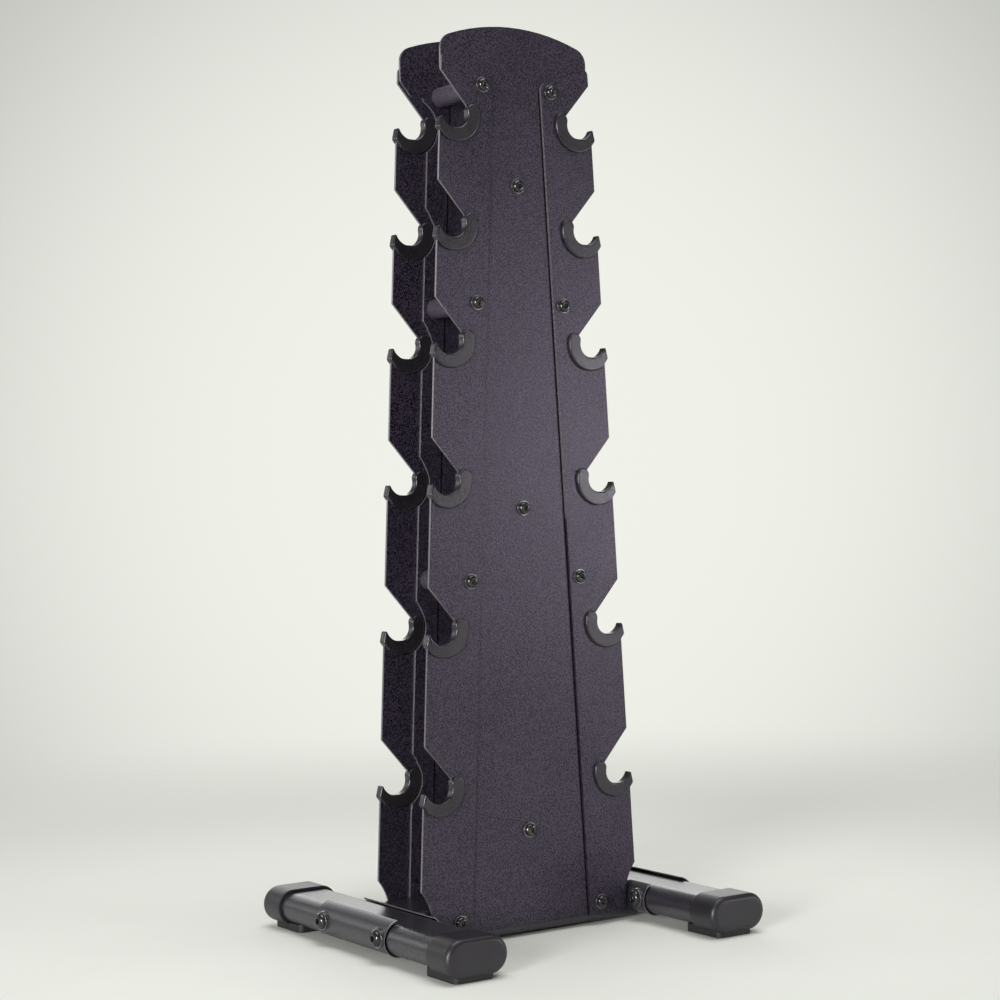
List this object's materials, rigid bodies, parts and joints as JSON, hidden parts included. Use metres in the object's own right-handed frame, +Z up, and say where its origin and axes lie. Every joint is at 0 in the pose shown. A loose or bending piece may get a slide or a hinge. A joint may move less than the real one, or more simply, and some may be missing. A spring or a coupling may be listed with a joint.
{
  "type": "dumbbell rack",
  "caption": "Upright free-standing dumbbell rack: paired notched sheet-metal frames with moulded open cradles on both sides, on two oval floor tubes.",
  "frame": {"origin": "on the floor, below the middle of the rack", "axes": "+Z up, +X to the right seen from the front, -Y towards the front, along which the floor tubes run"},
  "size_m": [0.427, 0.389, 1.0026],
  "materials": {
    "sheet_paint": "satin fine-texture powder coat",
    "tube_paint": "satin powder coat",
    "cradle_plastic": "matte moulded",
    "cap_plastic": "matte moulded",
    "pad_rubber": "matte",
    "black_fastener": "glossy black oxide"
  },
  "bodies": {
    "root": {"front_centre_panel": "sheet_paint", "rear_centre_panel": "sheet_paint", "front_left_strip": "sheet_paint", "front_right_strip": "sheet_paint", "rear_left_strip": "sheet_paint", "rear_right_strip": "sheet_paint", "cradle_front_left_1": "cradle_plastic", "cradle_front_left_2": "cradle_plastic", "cradle_front_left_3": "cradle_plastic", "cradle_front_left_4": "cradle_plastic", "cradle_front_left_5": "cradle_plastic", "cradle_front_left_6": "cradle_plastic", "cradle_front_right_1": "cradle_plastic", "cradle_front_right_2": "cradle_plastic", "cradle_front_right_3": "cradle_plastic", "cradle_front_right_4": "cradle_plastic", "cradle_front_right_5": "cradle_plastic", "cradle_front_right_6": "cradle_plastic", "cradle_rear_left_1": "cradle_plastic", "cradle_rear_left_2": "cradle_plastic", "cradle_rear_left_3": "cradle_plastic", "cradle_rear_left_4": "cradle_plastic", "cradle_rear_left_5": "cradle_plastic", "cradle_rear_left_6": "cradle_plastic", "cradle_rear_right_1": "cradle_plastic", "cradle_rear_right_2": "cradle_plastic", "cradle_rear_right_3": "cradle_plastic", "cradle_rear_right_4": "cradle_plastic", "cradle_rear_right_5": "cradle_plastic", "cradle_rear_right_6": "cradle_plastic", "spacer_left_top": "tube_paint", "spacer_left_middle": "tube_paint", "spacer_left_bottom": "tube_paint", "spacer_right_top": "tube_paint", "spacer_right_middle": "tube_paint", "spacer_right_bottom": "tube_paint", "spacer_centre_top": "tube_paint", "spacer_centre_middle": "tube_paint", "spacer_centre_bottom": "tube_paint", "base_crossmember": "tube_paint", "crossmember_nuts": "black_fastener", "left_foot_bracket": "tube_paint", "right_foot_bracket": "tube_paint", "left_foot_tube": "tube_paint", "right_foot_tube": "tube_paint", "end_cap_front_left": "cap_plastic", "end_cap_front_right": "cap_plastic", "end_cap_rear_left": "cap_plastic", "end_cap_rear_right": "cap_plastic", "foot_pad_front_left": "pad_rubber", "foot_pad_front_right": "pad_rubber", "foot_pad_rear_left": "pad_rubber", "foot_pad_rear_right": "pad_rubber", "panel_bolts": "black_fastener", "panel_washers": "black_fastener", "foot_bolts": "black_fastener", "foot_washers": "black_fastener", "foot_nuts": "black_fastener"}
  },
  "joints": []
}
